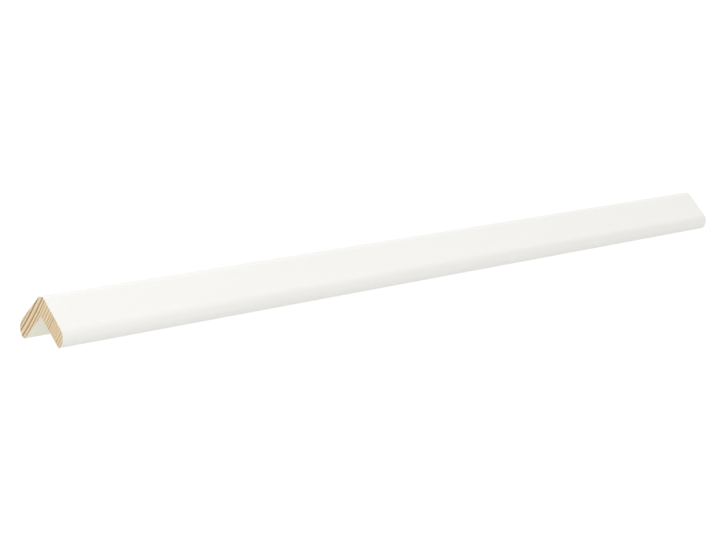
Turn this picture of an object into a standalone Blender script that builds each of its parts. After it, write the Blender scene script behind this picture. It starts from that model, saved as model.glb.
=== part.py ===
"""Corner moulding: a length of painted pine with equal legs, as fitted over a wall's outer corner.

It lies along X on the tips of its two legs, with the rounded outer edge on top. Sizes are in metres, and
the origin is below the middle of its length, on the plane that it rests on.
"""

import math

import bpy
from mathutils import Vector

LENGTH = 0.548
LEG_WIDTH = 0.027
LEG_THICKNESS = 0.008

OUTER_EDGE_RADIUS = 0.0037
INNER_EDGE_RADIUS = 0.0008
TIP_OUTER_RADIUS = 0.0064
TIP_INNER_RADIUS = 0.0014

# The flat that stays between two roundings on one side, and how far a facet may lie from its arc.
LEAST_FLAT = 0.00005
FACET_TOLERANCE = 0.000003

PAINT_COLOUR = (0.90, 0.895, 0.87, 1.0)
PAINT_ROUGHNESS = 0.42

# Every corner of the section is a right angle.
CORNER_ANGLE = math.pi / 2


def clear_scene():
    for old in list(bpy.data.objects):
        bpy.data.objects.remove(old, do_unlink=True)


def down_leg(side, along, depth):
    """A point of a leg in the section: along its outer face from the sharp outer edge, and that deep in it.

    side is 1 for the leg towards +Y and -1 for the one towards -Y. The outer edge is at 0, 0.
    """
    slope = math.sqrt(0.5)
    return Vector((side * (along - depth) * slope, -(along + depth) * slope))


def section_corners():
    """The sharp corners of the section with the radius of each, anticlockwise from the outer edge."""
    tip_outer = down_leg(1, LEG_WIDTH, 0)
    tip_inner = down_leg(1, LEG_WIDTH, LEG_THICKNESS)
    inner_edge = down_leg(1, LEG_THICKNESS, LEG_THICKNESS)
    mirrored = Vector((-1, 1))
    return [
        (Vector((0, 0)), OUTER_EDGE_RADIUS),
        (tip_outer * mirrored, TIP_OUTER_RADIUS),
        (tip_inner * mirrored, TIP_INNER_RADIUS),
        (inner_edge, INNER_EDGE_RADIUS),
        (tip_inner, TIP_INNER_RADIUS),
        (tip_outer, TIP_OUTER_RADIUS),
    ]


def radii_that_fit(corners):
    """The radii, drawn in where a side is too short for the roundings at its two ends."""
    wanted = [radius for _, radius in corners]
    fitted = list(wanted)
    for here, (corner, radius) in enumerate(corners):
        there = (here + 1) % len(corners)
        side = (corners[there][0] - corner).length
        share = (side - LEAST_FLAT) / (radius + wanted[there])
        fitted[here] = min(fitted[here], radius * share)
        fitted[there] = min(fitted[there], wanted[there] * share)
    return fitted


def rounded_corner(before, corner, after, radius):
    """The points of the arc that rounds one corner, from the side before it to the side after it."""
    arriving = (corner - before).normalized()
    leaving = (after - corner).normalized()
    centre = corner + radius * (leaving - arriving)
    facet_angle = 2 * math.acos(1 - FACET_TOLERANCE / radius)
    steps = math.ceil(CORNER_ANGLE / facet_angle)
    turns = [CORNER_ANGLE * step / steps for step in range(steps + 1)]
    return [
        centre + radius * (arriving * math.sin(turn) - leaving * math.cos(turn))
        for turn in turns
    ]


def section_outline():
    """The rounded outline, moved so that the tips of the legs touch the resting plane."""
    corners = section_corners()
    radii = radii_that_fit(corners)
    outline = []
    for here, (corner, _) in enumerate(corners):
        before = corners[here - 1][0]
        after = corners[(here + 1) % len(corners)][0]
        outline += rounded_corner(before, corner, after, radii[here])
    rest_height = min(point.y for point in outline)
    return [point - Vector((0, rest_height)) for point in outline]


def painted_pine():
    material = bpy.data.materials.new("white paint")
    material.use_nodes = True
    shader = material.node_tree.nodes["Principled BSDF"]
    shader.inputs["Base Color"].default_value = PAINT_COLOUR
    shader.inputs["Roughness"].default_value = PAINT_ROUGHNESS
    shader.inputs["Metallic"].default_value = 0.0
    material.diffuse_color = PAINT_COLOUR
    return material


def corner_moulding():
    """The section as a flat outline, extruded both ways and turned so that it runs along X."""
    curve = bpy.data.curves.new("corner_moulding", "CURVE")
    curve.dimensions = "2D"
    curve.fill_mode = "BOTH"
    curve.extrude = LENGTH / 2
    outline = section_outline()
    spline = curve.splines.new("POLY")
    spline.points.add(len(outline) - len(spline.points))
    for point, place in zip(spline.points, outline):
        point.co = (place.x, place.y, 0, 1)
    spline.use_cyclic_u = True
    curve.materials.append(painted_pine())
    moulding = bpy.data.objects.new("corner_moulding", curve)
    # The outline's own X becomes Y, its Y becomes Z, and the extrusion runs along X.
    moulding.rotation_euler = (math.pi / 2, 0, math.pi / 2)
    return moulding


def main():
    clear_scene()
    collection = bpy.data.collections.new("Corner moulding")
    bpy.context.scene.collection.children.link(collection)
    collection.objects.link(corner_moulding())


main()
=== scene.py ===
"""Looks of the corner moulding: sprayed white paint on planed pine, sawn square at both ends.

It lies along X on the tips of its two legs, with the rounded outer edge on top and the photographed end
at low X. Sizes are in metres, or in millimetres where a name ends in _MM.
"""

import math
import random

import bpy
import numpy as np
from mathutils import Matrix, Vector, noise
from mathutils.geometry import delaunay_2d_cdt


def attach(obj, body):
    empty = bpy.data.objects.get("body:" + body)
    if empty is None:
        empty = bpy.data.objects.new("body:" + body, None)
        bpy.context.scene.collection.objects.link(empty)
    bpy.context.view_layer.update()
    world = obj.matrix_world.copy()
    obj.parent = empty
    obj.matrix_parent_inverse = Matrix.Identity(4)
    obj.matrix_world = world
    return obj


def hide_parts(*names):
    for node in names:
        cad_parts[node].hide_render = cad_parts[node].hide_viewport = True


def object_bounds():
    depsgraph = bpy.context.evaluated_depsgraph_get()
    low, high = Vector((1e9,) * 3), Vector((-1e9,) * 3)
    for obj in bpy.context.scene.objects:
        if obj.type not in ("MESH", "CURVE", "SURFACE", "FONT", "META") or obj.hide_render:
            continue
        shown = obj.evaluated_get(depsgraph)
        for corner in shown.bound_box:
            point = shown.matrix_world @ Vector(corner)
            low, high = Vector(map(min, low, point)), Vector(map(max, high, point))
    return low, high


MM = 0.001

# The section, as on the solid: two equal legs at a right angle.
LEG_WIDTH = 0.027
LEG_THICKNESS = 0.008
OUTER_EDGE_RADIUS = 0.0037
INNER_EDGE_RADIUS = 0.0008
TIP_OUTER_RADIUS = 0.0064
TIP_INNER_RADIUS = 0.0014
CORNER_ANGLE = math.pi / 2
FEWEST_ARC_STEPS = 5

# A straight that is longer than whole steps by less than this share of one gets no extra point.
SPARE_STEP = 0.01

# The paint film, the hair of air between it and the wood, and its mesh.
FILM_THICKNESS = 0.00012
FILM_CLEARANCE = 0.00001
FILM_SPACING = 0.0003
FILM_RINGS = 246
FILM_END_STEPS = (0.0, 0.00008, 0.0002, 0.0005, 0.0011, 0.0022)
FILM_EDGE_ROUNDING = 0.00004

# Where the saw broke the film's edge: a fine ragged line with a few chips.
RAGGED_DEPTH = 0.00006
RAGGED_PITCH = 0.0007
RAGGED_NOISE_APART = 7.0
CHIPS_AT_AN_END = 16
CHIP_WIDTHS = (0.0005, 0.0014)
CHIP_DEPTHS = (0.0001, 0.0004)
CHIP_SEED = 11

# Relief that shows through the paint.
GRAIN_UNDER_PAINT = 0.000004
PLANING_WAVE = 0.000008
PLANING_WAVE_LENGTH = 0.07
PLANING_WAVE_WIDTH = 0.012

# The pine's yearly rings on the photographed end, outwards from the pith: the width of each and how dark
# its late wood is.
RINGS_MM = (
    (1.6, 0.6), (1.7, 1.3), (2.7, 0.95), (1.8, 0.85), (1.5, 0.35), (1.8, 0.55), (1.8, 0.55), (1.9, 0.55),
    (1.3, 0.55), (1.5, 0.7), (1.3, 0.35), (1.2, 0.35), (1.2, 0.35), (1.2, 0.3), (1.1, 0.35), (1.9, 0.55),
    (1.6, 0.4), (1.6, 0.4),
)
FIRST_RING_MM = 199.6
PITH_MM = (171.7, 132.9)
PITH_DRIFT = (0.004, -0.0025)
DARKEST_RING = 1.3
WIDEST_RING_MM = 2.7

# Inwards from a ring's outer edge, in millimetres, and how far the wood there has turned into late wood.
LATE_WOOD_PROFILE_MM = ((0.0, 0.7), (0.1, 1.0), (0.4, 0.95), (0.65, 0.42), (1.0, 0.08), (1.5, 0.0))

# The sawn ends: their mesh, torn fibres, late wood that stands proud and the arcs of the saw.
END_GRID = 0.00013
END_GRID_MARGIN = 0.6
CLOSEST_POINTS = 1e-9
END_FUZZ = 0.00003
END_FUZZ_WIDTH = 0.0003
END_FUZZ_APART = 5.0
LATE_WOOD_PROUD = 0.00003
SAW_MARK_DEPTH = 0.00001
SAW_MARK_PITCH = 0.00045
SAW_RADIUS = 0.125
SAW_CENTRE = (0.06, -0.1)

# Edges with a turn above this are shaded as creases.
CREASE_ANGLE = math.radians(40)

# Where the bake map holds each surface. The outline of the section runs up the map between the first two
# values, and each surface runs across it between its own two.
MAP_ROUND = (0.01, 0.99)
MAP_FILM = (0.06, 0.94)
MAP_FILM_NEAR_EDGE = (0.03, 0.04)
MAP_FILM_FAR_EDGE = (0.96, 0.97)
MAP_FILM_INSIDE = (0.01, 0.02)
MAP_WOOD_SIDES = (0.99, 0.995)

# The wood's two sawn faces lie one above the other on its map, from these heights, drawn to this share.
MAP_SAWN_FACES = (0.02, 0.52)
MAP_SAWN_FACE_HEIGHT = 0.6

# Colours of the wood and of the paint, in linear light.
EARLY_WOOD_DULL = (0.84, 0.66, 0.42, 1)
EARLY_WOOD_PALE = (0.90, 0.75, 0.51, 1)
LATE_WOOD = (0.32, 0.16, 0.055, 1)
RESIN_CANAL = (0.26, 0.12, 0.045, 1)
PAINT_DULL = (0.895, 0.887, 0.852, 1)
PAINT_PALE = (0.915, 0.908, 0.876, 1)
THIN_PAINT = (0.885, 0.868, 0.745, 1)

# How deep in the leg, from its outer face, the paint starts to thin and where it is thinnest.
PAINT_THINS_MM = (7.0, 7.9)

# Noise in the materials: its features per millimetre along the moulding as a share of those across it, those
# across it, and its detail.
RING_WAVER = (0.02, 0.18, 1)
RING_FUZZ = (0.05, 3.0, 2)
WOOD_TONE = (1, 0.12, 2)
WOOD_FLECKS = (0.1, 6.0, 3)
PAINT_PATCHES = (0.2, 0.1, 3)
PAINT_STREAKS = (0.03, 1.4, 3)
PAINT_SHEEN = (1, 0.25, 3)
PAINT_FIBRES = (0.02, 2.2, 2)
PAINT_PEEL = (1, 0.9, 2)

# Most of a noise lies between these values.
NOISE_MIDDLE = (0.3, 0.7)

# What the noise does: how far the rings waver, and then, from its low values to its high ones, how dark late
# wood is, how rough wood and paint are, and how much of the thin paint's colour shows.
RING_WAVER_MM = 0.4
RING_FUZZ_MM = 0.15
FLECK_DARKNESS = (0.8, 1.15)
WOOD_ROUGHNESS = (0.72, 0.88)
WOOD_SPECULAR = 0.3
PAINT_ROUGHNESS = (0.36, 0.48)
STREAK_SHARE = (0.7, 1.0)

# Rays in the wood: features per millimetre round the pith and away from it, and how dark they get.
RAYS_PER_MM = (5.0, 0.35, 1)
RAY_DETAIL = 3
RAY_EDGE = (0.55, 0.75)
RAY_DARKNESS = 0.12

# Resin canals: how many per millimetre along the moulding as a share of those across it, those across it,
# where their edge lies, and how dark they get.
CANALS_ALONG = 0.05
CANALS_PER_MM = 0.9
CANAL_EDGE = (0.07, 0.12)
CANAL_DARKNESS = 0.55

# Fine bumps: strength and height, and the shares of what makes them.
WOOD_BUMP = (0.5, 0.00005)
FLECK_HEIGHT = 0.6
LATE_WOOD_HEIGHT = 0.5
PAINT_BUMP = (0.6, 0.00001)
FIBRE_HEIGHT = 0.5

# The camera, from the middle of the near end's resting line, with the lens for a frame 36 mm wide.
CAMERA_FROM_NEAR_END = (-0.53468, -0.69922, 0.20373)
CAMERA_YAW = math.radians(47.176)
CAMERA_PITCH = math.radians(-10.733)
CAMERA_ROLL = math.radians(1.46)
LENS_MM = 94.32
FRAME_WIDTH_MM = 36.0
CAMERA_SEES_FROM = 0.01
CAMERA_SEES_TO = 100.0

# The studio: a white floor and backdrop for the camera, and for light a surround, a light table and two
# softboxes. The surround's strength goes by the sine of the angle above the horizon: dark at the horizon,
# full half way up and about half overhead.
WHITE = (1, 1, 1, 1)
BLACK = (0, 0, 0, 1)
WHITE_GLOW = 1.02
FLOOR_SIZE = 60.0
BACKDROP_RADIUS = 20.0
SURROUND_BY_HEIGHT = (
    (0.0, 0.0), (0.1, 0.14), (0.25, 0.38), (0.4, 0.69), (0.55, 0.95), (0.7, 1.0), (0.85, 0.8), (1.0, 0.47),
)
SURROUND_STRENGTH = 1.25
LIGHT_TABLE_DROP = 0.0005
LIGHT_TABLE_COLOUR = (0.2, 0.2, 0.2, 1)
LIGHT_TABLE_GLOW = 0.685
SOFTBOXES = (
    ("main_softbox", (-1.03, -0.7, 0.75), 2.7),
    ("fill_softbox", (-0.5, -1.5, 0.9), 1.5),
)
SOFTBOX_TARGET = (-0.3, 0.0, 0.0)
SOFTBOX_SIZE = 0.7

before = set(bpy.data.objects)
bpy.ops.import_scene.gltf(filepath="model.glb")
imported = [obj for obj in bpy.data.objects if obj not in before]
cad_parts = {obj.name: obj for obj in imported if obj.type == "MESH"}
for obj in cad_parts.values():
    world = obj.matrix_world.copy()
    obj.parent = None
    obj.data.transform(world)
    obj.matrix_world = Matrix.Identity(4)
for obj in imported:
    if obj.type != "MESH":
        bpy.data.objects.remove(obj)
CAD_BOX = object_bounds()
NEAR_X = CAD_BOX[0].x
FAR_X = CAD_BOX[1].x


def leg_corner(side, along, depth):
    """A corner of the section: along a leg's outer face from the sharp outer edge, and that deep in it."""
    slope = math.sqrt(0.5)
    return Vector((side * (along - depth) * slope, -(along + depth) * slope))


def section_corners():
    """The sharp corners of the section with their radii, anticlockwise from the inner edge."""
    return [
        (leg_corner(1, LEG_THICKNESS, LEG_THICKNESS), INNER_EDGE_RADIUS),
        (leg_corner(1, LEG_WIDTH, LEG_THICKNESS), TIP_INNER_RADIUS),
        (leg_corner(1, LEG_WIDTH, 0), TIP_OUTER_RADIUS),
        (leg_corner(1, 0, 0), OUTER_EDGE_RADIUS),
        (leg_corner(-1, LEG_WIDTH, 0), TIP_OUTER_RADIUS),
        (leg_corner(-1, LEG_WIDTH, LEG_THICKNESS), TIP_INNER_RADIUS),
    ]


def rounded_corner(before, corner, after, radius, spacing):
    """Places and outward normals along the arc that rounds one corner."""
    arriving = (corner - before).normalized()
    leaving = (after - corner).normalized()
    centre = corner + radius * (leaving - arriving)
    outward = 1 if arriving.cross(leaving) > 0 else -1
    steps = max(FEWEST_ARC_STEPS, math.ceil(CORNER_ANGLE * radius / spacing))
    places, normals = [], []
    for step in range(steps + 1):
        turn = CORNER_ANGLE * step / steps
        spoke = arriving * math.sin(turn) - leaving * math.cos(turn)
        places.append(centre + radius * spoke)
        normals.append(outward * spoke)
    return places, normals


def with_straights_divided(places, normals, spacing):
    """The closed outline with points added where two neighbours are further apart than the spacing."""
    all_places, all_normals = [], []
    for here, place in enumerate(places):
        there = (here + 1) % len(places)
        parts = max(1, math.ceil((places[there] - place).length / spacing - SPARE_STEP))
        for part in range(parts):
            all_places.append(place.lerp(places[there], part / parts))
            all_normals.append(normals[here].lerp(normals[there], part / parts))
    return np.array(all_places), np.array(all_normals)


def section_outline(spacing):
    """Places and outward normals round the section in Y and Z, resting on the tips of the legs."""
    corners = section_corners()
    places, normals = [], []
    for here, (corner, radius) in enumerate(corners):
        before = corners[here - 1][0]
        after = corners[(here + 1) % len(corners)][0]
        arc, arc_normals = rounded_corner(before, corner, after, radius, spacing)
        places += arc
        normals += arc_normals
    rest_height = min(place.y for place in places)
    places = [place - Vector((0, rest_height)) for place in places]
    return with_straights_divided(places, normals, spacing)


def ring_edges():
    """How far each ring starts from the pith, in millimetres, and where the last one ends."""
    return FIRST_RING_MM + np.concatenate(([0.0], np.cumsum([width for width, _ in RINGS_MM])))


def from_pith(x, y, z):
    """How far a place in the wood is from the pith, in millimetres."""
    along = (x - NEAR_X) / MM
    across = y / MM - PITH_MM[0] - PITH_DRIFT[0] * along
    up = z / MM - PITH_MM[1] - PITH_DRIFT[1] * along
    return np.hypot(across, up)


def late_wood(x, y, z):
    """How far a place in the wood has turned into late wood, by the same rings as the pine's colour."""
    radius = from_pith(x, y, z)
    edges = ring_edges()
    outer_edge = edges[np.searchsorted(edges, radius).clip(1, len(edges) - 1)]
    return np.interp(outer_edge - radius, *zip(*LATE_WOOD_PROFILE_MM))


def softened_rings(x, y, z):
    """The rings as a smooth wave, from 0 in early wood to 1 at the middle of late wood."""
    edges = ring_edges()
    turns = np.interp(from_pith(x, y, z), edges, np.arange(len(edges)))
    return 0.5 + 0.5 * np.cos(2 * math.pi * turns)


def ragged_edge(perimeter, total, end):
    """How far the saw broke the film back round one end: noise along the edge and a few chips."""
    draw = random.Random(CHIP_SEED + end)
    broken = np.array([
        RAGGED_DEPTH * abs(noise.noise(Vector((place / RAGGED_PITCH, RAGGED_NOISE_APART * end, 0))))
        for place in perimeter
    ])
    for _ in range(CHIPS_AT_AN_END):
        middle = draw.uniform(0, total)
        width = draw.uniform(*CHIP_WIDTHS)
        depth = draw.uniform(*CHIP_DEPTHS)
        away = (perimeter - middle) / (width / 2)
        broken = np.maximum(broken, depth * (1 - away ** 2))
    return broken


def film_relief(x, y, z):
    """How deep the painted surface lies under the true section: grain and long planing waves."""
    waves = np.array([
        noise.noise(Vector((px / PLANING_WAVE_LENGTH, py / PLANING_WAVE_WIDTH, pz / PLANING_WAVE_WIDTH)))
        for px, py, pz in zip(x, y, z)
    ])
    return GRAIN_UNDER_PAINT * (1 - softened_rings(x, y, z)) + PLANING_WAVE * (0.5 + 0.5 * waves)


def film_stations():
    """Where the film's rings of points stand along X: close together at the ends, then evenly."""
    ends = np.array(FILM_END_STEPS)
    middle = np.linspace(NEAR_X + ends[-1], FAR_X - ends[-1], FILM_RINGS)
    return np.concatenate((NEAR_X + ends[:-1], middle, (FAR_X - ends[:-1])[::-1]))


def perimeter_of(places):
    """How far round the outline each point is, and the whole way round."""
    sides = np.linalg.norm(np.roll(places, -1, axis=0) - places, axis=1)
    return np.concatenate(([0.0], np.cumsum(sides)[:-1])), sides.sum()


def film_points():
    """The film's outer rings of points from the near end to the far one, then its two inner rings."""
    places, normals = section_outline(FILM_SPACING)
    perimeter, total = perimeter_of(places)
    stations = film_stations()
    steps = len(FILM_END_STEPS)
    near_edge = ragged_edge(perimeter, total, 0)
    far_edge = ragged_edge(perimeter, total, 1)
    rings = []
    for index, station in enumerate(stations):
        from_far = len(stations) - 1 - index
        x = np.full(len(places), station)
        x += near_edge * max(0, 1 - index / steps)
        x -= far_edge * max(0, 1 - from_far / steps)
        depth = film_relief(x, places[:, 0], places[:, 1])
        if index == 0 or from_far == 0:
            depth += FILM_EDGE_ROUNDING
        rings.append(np.column_stack((x, places - normals * depth[:, None])))
    for edge in (rings[0], rings[-1]):
        rings.append(np.column_stack((edge[:, 0], places - normals * FILM_THICKNESS)))
    return rings, perimeter / total


def band(first, second, count):
    """Quads between two rings of points, given by the number of each one's first point."""
    return [
        (first + side, first + (side + 1) % count, second + (side + 1) % count, second + side)
        for side in range(count)
    ]


def map_band(shares, start, end):
    """Where a band's quads lie on the map: round the outline up the map, and along it from start to end."""
    low, high = MAP_ROUND
    rows = low + (high - low) * np.append(shares, 1.0)
    corners = np.empty((len(shares), 4, 2))
    corners[:, 0] = np.column_stack((np.full(len(shares), start), rows[:-1]))
    corners[:, 1] = np.column_stack((np.full(len(shares), start), rows[1:]))
    corners[:, 2] = np.column_stack((np.full(len(shares), end), rows[1:]))
    corners[:, 3] = np.column_stack((np.full(len(shares), end), rows[:-1]))
    return corners.reshape(-1, 2)


def piece_from(name, points, faces, map_places, material):
    """A mesh object, smooth but for its creases, with its own bake map."""
    mesh = bpy.data.meshes.new(name)
    mesh.from_pydata(points, [], faces)
    layer = mesh.uv_layers.new(name="OFBake")
    layer.data.foreach_set("uv", np.asarray(map_places, dtype=np.float32).ravel())
    mesh.shade_smooth()
    mesh.set_sharp_from_angle(angle=CREASE_ANGLE)
    mesh.materials.append(material)
    piece = bpy.data.objects.new(name, mesh)
    bpy.context.scene.collection.objects.link(piece)
    return piece


def paint_coat():
    """The paint as a closed film: outer surface, an edge at each end and the side that lies on the wood."""
    rings, shares = film_points()
    count = len(shares)
    outer = len(rings) - 2
    near_inner, far_inner = outer, outer + 1
    faces, map_places = [], []
    stations = np.array([ring[:, 0].mean() for ring in rings[:outer]])
    along = np.interp(stations, (NEAR_X, FAR_X), MAP_FILM)
    for ring in range(outer - 1):
        faces += band(ring * count, (ring + 1) * count, count)
        map_places.append(map_band(shares, along[ring], along[ring + 1]))
    for first, second, on_map in (
        (near_inner, 0, MAP_FILM_NEAR_EDGE),
        (outer - 1, far_inner, MAP_FILM_FAR_EDGE),
        (far_inner, near_inner, MAP_FILM_INSIDE),
    ):
        faces += band(first * count, second * count, count)
        map_places.append(map_band(shares, *on_map))
    return piece_from(
        "paint_coat", np.concatenate(rings), faces, np.concatenate(map_places), white_paint()
    )


def inside_outline(points, outline):
    """Which points lie inside the closed outline, by counting how often a line to one side crosses it."""
    inside = np.zeros(len(points), dtype=bool)
    for start, end in zip(outline, np.roll(outline, -1, axis=0)):
        spans = (start[1] > points[:, 1]) != (end[1] > points[:, 1])
        rise = (end[1] - start[1]) or 1.0
        crossing = start[0] + (points[:, 1] - start[1]) * (end[0] - start[0]) / rise
        inside ^= spans & (points[:, 0] < crossing)
    return inside


def staggered_grid(low, high, spacing):
    """Points in rows, every second row shifted by half a step, so that they make even triangles."""
    rows = []
    row_height = spacing * math.sqrt(0.75)
    for row, height in enumerate(np.arange(low[1], high[1], row_height)):
        across = np.arange(low[0] + spacing / 2 * (row % 2), high[0], spacing)
        rows.append(np.column_stack((across, np.full(len(across), height))))
    return np.concatenate(rows)


def end_face():
    """Points and triangles that fill the wood's section. The first points are its outline, in order."""
    inset = FILM_THICKNESS + FILM_CLEARANCE
    places, normals = section_outline(END_GRID)
    outline = places - normals * inset
    fill_line = places - normals * (inset + END_GRID_MARGIN * END_GRID)
    grid = staggered_grid(outline.min(axis=0), outline.max(axis=0), END_GRID)
    filling = grid[inside_outline(grid, fill_line)]
    points = [Vector(point) for point in np.concatenate((outline, filling))]
    count = len(outline)
    edges = [(here, (here + 1) % count) for here in range(count)]
    only_inside = 1
    places, _, triangles, *_ = delaunay_2d_cdt(points, edges, [], only_inside, CLOSEST_POINTS)
    return np.array(places), triangles, count


def sawn_depth(x, y, z, end):
    """How deep the sawn face lies under the true end: soft early wood, the saw's arcs and torn fibres."""
    arcs = np.hypot(y - SAW_CENTRE[0], z - SAW_CENTRE[1]) - SAW_RADIUS
    teeth = 0.5 + 0.5 * np.sin(2 * math.pi * arcs / SAW_MARK_PITCH)
    fuzz = np.array([
        abs(noise.noise(Vector((py / END_FUZZ_WIDTH, pz / END_FUZZ_WIDTH, END_FUZZ_APART * end))))
        for py, pz in zip(y, z)
    ])
    return LATE_WOOD_PROUD * (1 - late_wood(x, y, z)) + SAW_MARK_DEPTH * teeth + END_FUZZ * fuzz


def pine_core():
    """The wood inside the film, closed, with finely divided sawn faces at its two ends."""
    places, triangles, count = end_face()
    points, faces, map_places = [], [], []
    on_map = places / (LEG_WIDTH * math.sqrt(2)) * (1, MAP_SAWN_FACE_HEIGHT)
    total = len(places)
    for end, (x, inwards) in enumerate(((NEAR_X, 1), (FAR_X, -1))):
        depth = sawn_depth(x, places[:, 0], places[:, 1], end)
        points.append(np.column_stack((x + inwards * depth, places)))
        end_on_map = on_map + (0.5, MAP_SAWN_FACES[end])
        for triangle in triangles:
            corners = triangle[::-1] if end == 0 else triangle
            faces.append([corner + end * total for corner in corners])
            map_places += [end_on_map[corner] for corner in corners]
    faces += band(0, total, count)
    map_places += list(map_band(np.arange(count) / count, *MAP_WOOD_SIDES))
    return piece_from("pine_core", np.concatenate(points), faces, map_places, bare_pine())


def add_node(tree, kind, inputs=(), **settings):
    """Adds a node. Inputs are pairs: an input's name or number, and a value or the socket that feeds it."""
    node = tree.nodes.new(kind)
    for name, value in settings.items():
        setattr(node, name, value)
    for name, value in inputs:
        if isinstance(value, bpy.types.NodeSocket):
            tree.links.new(value, node.inputs[name])
        else:
            node.inputs[name].default_value = value
    return node


def calculate(tree, operation, *values):
    """A Math node's result."""
    return add_node(tree, "ShaderNodeMath", enumerate(values), operation=operation).outputs[0]


def scaled(tree, vector, by):
    """A vector multiplied part by part."""
    node = add_node(tree, "ShaderNodeVectorMath", ((0, vector), (1, by)), operation="MULTIPLY")
    return node.outputs[0]


def noise_at(tree, vector, scale, detail):
    """Smooth noise from about 0 to 1."""
    inputs = (("Vector", vector), ("Scale", scale), ("Detail", detail))
    return add_node(tree, "ShaderNodeTexNoise", inputs).outputs["Fac"]


def streaky_noise(tree, place, kind):
    """Noise of one of the kinds named at the top, most of them drawn out along the moulding."""
    along, per_mm, detail = kind
    return noise_at(tree, scaled(tree, place, (along, 1, 1)), per_mm, detail)


def between(tree, value, low, high, new_low, new_high):
    """The value carried from one range to another, and kept inside it."""
    inputs = ((0, value), (1, low), (2, high), (3, new_low), (4, new_high))
    return add_node(tree, "ShaderNodeMapRange", inputs).outputs[0]


def blended(tree, share, first, second):
    """A colour between two others."""
    node = add_node(tree, "ShaderNodeMix", data_type="RGBA")
    for socket, value in ((node.inputs[0], share), (node.inputs[6], first), (node.inputs[7], second)):
        if isinstance(value, bpy.types.NodeSocket):
            tree.links.new(value, socket)
        else:
            socket.default_value = value
    return node.outputs[2]


def curve_of(tree, value, places):
    """A line through places in the unit square, read at the value."""
    node = add_node(tree, "ShaderNodeFloatCurve", (("Value", value),))
    points = node.mapping.curves[0].points
    for across, up in places[1:-1]:
        points.new(across, up)
    points[0].location = places[0]
    points[-1].location = places[-1]
    for point in points:
        point.handle_type = "VECTOR"
    node.mapping.use_clip = True
    node.mapping.update()
    return node.outputs[0]


def add_bumps(tree, shader, height, strength, distance):
    """Fine bumps on the shader."""
    inputs = (("Strength", strength), ("Distance", distance), ("Height", height))
    bumps = add_node(tree, "ShaderNodeBump", inputs)
    tree.links.new(bumps.outputs["Normal"], shader.inputs["Normal"])


def dot_product(tree, vector, other):
    """How far a place lies along a direction."""
    inputs = ((0, vector), (1, other))
    return add_node(tree, "ShaderNodeVectorMath", inputs, operation="DOT_PRODUCT").outputs["Value"]


def new_material(name):
    """A material with its tree, its shader and the place in millimetres."""
    material = bpy.data.materials.new(name)
    material.use_nodes = True
    tree = material.node_tree
    shader = tree.nodes["Principled BSDF"]
    coordinates = add_node(tree, "ShaderNodeTexCoord").outputs["Object"]
    in_mm = scaled(tree, coordinates, (1 / MM, 1 / MM, 1 / MM))
    return material, tree, shader, in_mm


def ring_radius(tree, place):
    """How far a place is from the pith, in millimetres, with the rings' long waver and fuzzy edges."""
    drift_y, drift_z = PITH_DRIFT
    near = NEAR_X / MM
    across = dot_product(tree, place, (-drift_y, 1, 0))
    up = dot_product(tree, place, (-drift_z, 0, 1))
    pith = (0, PITH_MM[0] - drift_y * near, PITH_MM[1] - drift_z * near)
    flat = add_node(tree, "ShaderNodeCombineXYZ", ((1, across), (2, up))).outputs[0]
    away = add_node(tree, "ShaderNodeVectorMath", ((0, flat), (1, pith)), operation="DISTANCE")
    waver = calculate(tree, "SUBTRACT", streaky_noise(tree, place, RING_WAVER), 0.5)
    fuzz = calculate(tree, "SUBTRACT", streaky_noise(tree, place, RING_FUZZ), 0.5)
    wavering = calculate(tree, "MULTIPLY_ADD", waver, RING_WAVER_MM, away.outputs["Value"])
    return calculate(tree, "MULTIPLY_ADD", fuzz, RING_FUZZ_MM, wavering)


def at_ring_ends(tree, across, places, values, most):
    """A value that each ring has at its outer edge, read from a curve over the places of those edges."""
    curve = [(0.0, values[0] / most)] + [(place, value / most) for place, value in zip(places, values)]
    return calculate(tree, "MULTIPLY", curve_of(tree, across, curve), most)


def late_wood_nodes(tree, radius):
    """How dark the wood is with late wood: pale in a ring's early part, and darkest near its outer edge."""
    edges = ring_edges()
    places = [float(edge - edges[0]) / float(edges[-1] - edges[0]) for edge in edges]
    across = between(tree, radius, float(edges[0]), float(edges[-1]), 0.0, 1.0)
    count = len(RINGS_MM)
    numbered = curve_of(tree, across, [(place, ring / count) for ring, place in enumerate(places)])
    share = calculate(tree, "FRACT", calculate(tree, "MULTIPLY", numbered, float(count)))
    width = at_ring_ends(tree, across, places[1:], [width for width, _ in RINGS_MM], WIDEST_RING_MM)
    darkness = at_ring_ends(tree, across, places[1:], [dark for _, dark in RINGS_MM], DARKEST_RING)
    from_edge = calculate(tree, "MULTIPLY", calculate(tree, "SUBTRACT", 1.0, share), width)
    reach = LATE_WOOD_PROFILE_MM[-1][0]
    profile = [(place / reach, level) for place, level in LATE_WOOD_PROFILE_MM]
    level = curve_of(tree, calculate(tree, "DIVIDE", from_edge, reach), profile)
    return calculate(tree, "MULTIPLY", level, darkness)


def ray_nodes(tree, place, radius):
    """The wood's fine rays: streaks that run outwards from the pith."""
    reach = math.hypot(*PITH_MM)
    along_ring = (0, PITH_MM[1] / reach, -PITH_MM[0] / reach)
    round_pith = dot_product(tree, place, along_ring)
    grid = add_node(tree, "ShaderNodeCombineXYZ", ((0, round_pith), (1, radius))).outputs[0]
    return noise_at(tree, scaled(tree, grid, RAYS_PER_MM), 1.0, RAY_DETAIL)


def canal_nodes(tree, place):
    """Where the resin canals are: small round spots in the sawn face, drawn out along the moulding."""
    inputs = (("Vector", scaled(tree, place, (CANALS_ALONG, 1, 1))), ("Scale", CANALS_PER_MM))
    from_middle = add_node(tree, "ShaderNodeTexVoronoi", inputs).outputs["Distance"]
    return between(tree, from_middle, *CANAL_EDGE, CANAL_DARKNESS, 0.0)


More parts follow.
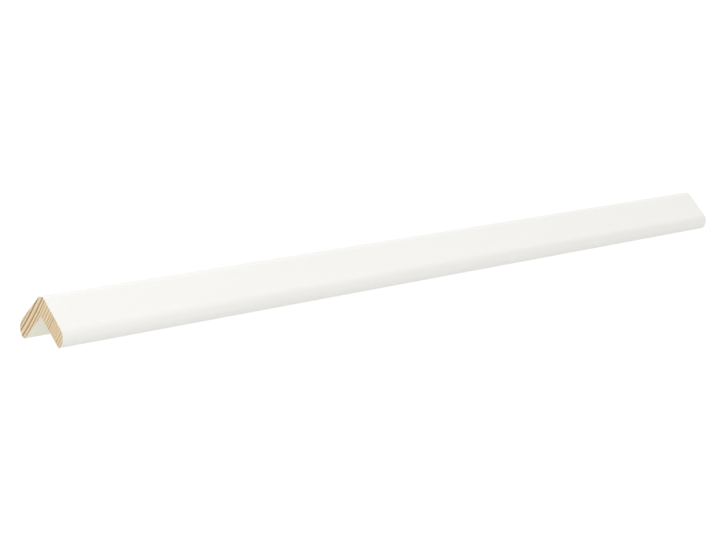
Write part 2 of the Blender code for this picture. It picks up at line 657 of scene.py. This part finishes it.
def bare_pine():
    """Sawn end grain: late wood, rays and resin canals. The saw's marks are in the mesh."""
    material, tree, shader, place = new_material("bare pine")
    radius = ring_radius(tree, place)
    flecks = streaky_noise(tree, place, WOOD_FLECKS)
    late_darkness = between(tree, flecks, *NOISE_MIDDLE, *FLECK_DARKNESS)
    late = calculate(tree, "MULTIPLY", late_wood_nodes(tree, radius), late_darkness)
    early = blended(tree, streaky_noise(tree, place, WOOD_TONE), EARLY_WOOD_DULL, EARLY_WOOD_PALE)
    rays = between(tree, ray_nodes(tree, place, radius), *RAY_EDGE, 0.0, RAY_DARKNESS)
    early = blended(tree, rays, early, LATE_WOOD)
    colour = blended(tree, late, early, LATE_WOOD)
    colour = blended(tree, canal_nodes(tree, place), colour, RESIN_CANAL)
    tree.links.new(colour, shader.inputs["Base Color"])
    tree.links.new(between(tree, flecks, *NOISE_MIDDLE, *WOOD_ROUGHNESS), shader.inputs["Roughness"])
    shader.inputs["Specular IOR Level"].default_value = WOOD_SPECULAR
    late_height = calculate(tree, "MULTIPLY", late, LATE_WOOD_HEIGHT)
    height = calculate(tree, "MULTIPLY_ADD", flecks, FLECK_HEIGHT, late_height)
    add_bumps(tree, shader, height, *WOOD_BUMP)
    return material


def depth_in_leg(tree, place):
    """How far under the nearer leg's outer face a place is, in millimetres."""
    sharp_edge = CAD_BOX[1].z + (math.sqrt(2) - 1) * OUTER_EDGE_RADIUS
    parts = add_node(tree, "ShaderNodeSeparateXYZ", ((0, place),)).outputs
    down = calculate(tree, "ADD", calculate(tree, "ABSOLUTE", parts["Y"]), parts["Z"])
    under = calculate(tree, "SUBTRACT", sharp_edge / MM, down)
    return calculate(tree, "MULTIPLY", under, math.sqrt(0.5))


def white_paint():
    """Satin paint, sprayed thinner on the inner faces, where a little of the wood's warmth shows."""
    material, tree, shader, place = new_material("white paint")
    colour = blended(tree, streaky_noise(tree, place, PAINT_PATCHES), PAINT_DULL, PAINT_PALE)
    thinned = between(tree, depth_in_leg(tree, place), *PAINT_THINS_MM, 0.0, 1.0)
    streaks = between(tree, streaky_noise(tree, place, PAINT_STREAKS), *NOISE_MIDDLE, *STREAK_SHARE)
    thinned = calculate(tree, "MULTIPLY", thinned, streaks)
    colour = blended(tree, thinned, colour, THIN_PAINT)
    tree.links.new(colour, shader.inputs["Base Color"])
    sheen = streaky_noise(tree, place, PAINT_SHEEN)
    tree.links.new(between(tree, sheen, *NOISE_MIDDLE, *PAINT_ROUGHNESS), shader.inputs["Roughness"])
    fibres = streaky_noise(tree, place, PAINT_FIBRES)
    peel = streaky_noise(tree, place, PAINT_PEEL)
    height = calculate(tree, "MULTIPLY_ADD", fibres, FIBRE_HEIGHT, peel)
    add_bumps(tree, shader, height, *PAINT_BUMP)
    return material


def glowing(name, colour, strength):
    """A matt material that gives off white light."""
    material = bpy.data.materials.new(name)
    material.use_nodes = True
    shader = material.node_tree.nodes["Principled BSDF"]
    shader.inputs["Base Color"].default_value = colour
    shader.inputs["Roughness"].default_value = 1.0
    shader.inputs["Specular IOR Level"].default_value = 0.0
    shader.inputs["Emission Color"].default_value = WHITE
    shader.inputs["Emission Strength"].default_value = strength
    # So wide a sheet leaves less noise when only bounces of light find it.
    material.cycles.emission_sampling = "NONE"
    return material


def stage_set(name, material):
    """Names the object made last and dresses it."""
    piece = bpy.context.object
    piece.name = name
    piece.data.materials.append(material)
    return piece


def only_seen(piece):
    """Lets the camera see a staged thing that casts no light or shade on the moulding."""
    piece.visible_diffuse = False
    piece.visible_glossy = False
    piece.visible_shadow = False


def studio_floor():
    """A plain white floor, and a light table just under it that lights the moulding from below."""
    bpy.ops.mesh.primitive_plane_add(size=FLOOR_SIZE)
    only_seen(stage_set("studio_floor", glowing("studio floor", BLACK, WHITE_GLOW)))
    bpy.ops.mesh.primitive_plane_add(size=FLOOR_SIZE, location=(0, 0, -LIGHT_TABLE_DROP))
    table = stage_set("light_table", glowing("light table", LIGHT_TABLE_COLOUR, LIGHT_TABLE_GLOW))
    table.visible_camera = False


def studio_backdrop():
    """A plain white dome. The surround beyond it lights the moulding."""
    bpy.ops.mesh.primitive_uv_sphere_add(radius=BACKDROP_RADIUS)
    only_seen(stage_set("studio_backdrop", glowing("studio backdrop", BLACK, WHITE_GLOW)))


def softbox(name, place, watts):
    """A square softbox that faces the near end."""
    light = bpy.data.lights.new(name, "AREA")
    light.shape = "SQUARE"
    light.size = SOFTBOX_SIZE
    light.energy = watts
    box = bpy.data.objects.new(name, light)
    box.location = place
    box.rotation_mode = "QUATERNION"
    box.rotation_quaternion = (Vector(SOFTBOX_TARGET) - Vector(place)).to_track_quat("-Z", "Y")
    box.visible_camera = False
    bpy.context.scene.collection.objects.link(box)


def studio_light():
    """A white surround, a softbox over the camera and a weaker one behind it."""
    world = bpy.data.worlds.new("studio")
    bpy.context.scene.world = world
    world.use_nodes = True
    tree = world.node_tree
    direction = add_node(tree, "ShaderNodeTexCoord").outputs["Generated"]
    height = add_node(tree, "ShaderNodeSeparateXYZ", ((0, direction),)).outputs["Z"]
    level = curve_of(tree, height, SURROUND_BY_HEIGHT)
    strength = calculate(tree, "MULTIPLY", level, SURROUND_STRENGTH)
    background = tree.nodes["Background"]
    background.inputs["Color"].default_value = WHITE
    tree.links.new(strength, background.inputs["Strength"])
    for name, place, watts in SOFTBOXES:
        softbox(name, place, watts)


def camera():
    """The photograph's camera, beyond the near end and to the front, looking a little down."""
    data = bpy.data.cameras.new("camera")
    data.sensor_width = FRAME_WIDTH_MM
    data.lens = LENS_MM
    data.clip_start = CAMERA_SEES_FROM
    data.clip_end = CAMERA_SEES_TO
    viewer = bpy.data.objects.new("camera", data)
    place = Vector((NEAR_X, 0, 0)) + Vector(CAMERA_FROM_NEAR_END)
    viewer.matrix_world = (
        Matrix.Translation(place)
        @ Matrix.Rotation(-CAMERA_YAW, 4, "Z")
        @ Matrix.Rotation(math.pi / 2 + CAMERA_PITCH, 4, "X")
        @ Matrix.Rotation(CAMERA_ROLL, 4, "Z")
    )
    bpy.context.scene.collection.objects.link(viewer)
    bpy.context.scene.camera = viewer


camera()
studio_light()
studio_floor()
studio_backdrop()
bpy.context.scene.view_settings.view_transform = "Standard"
for piece, finish in ((paint_coat(), "white_paint"), (pine_core(), "bare_pine")):
    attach(piece, "root")
    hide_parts("corner_moulding")
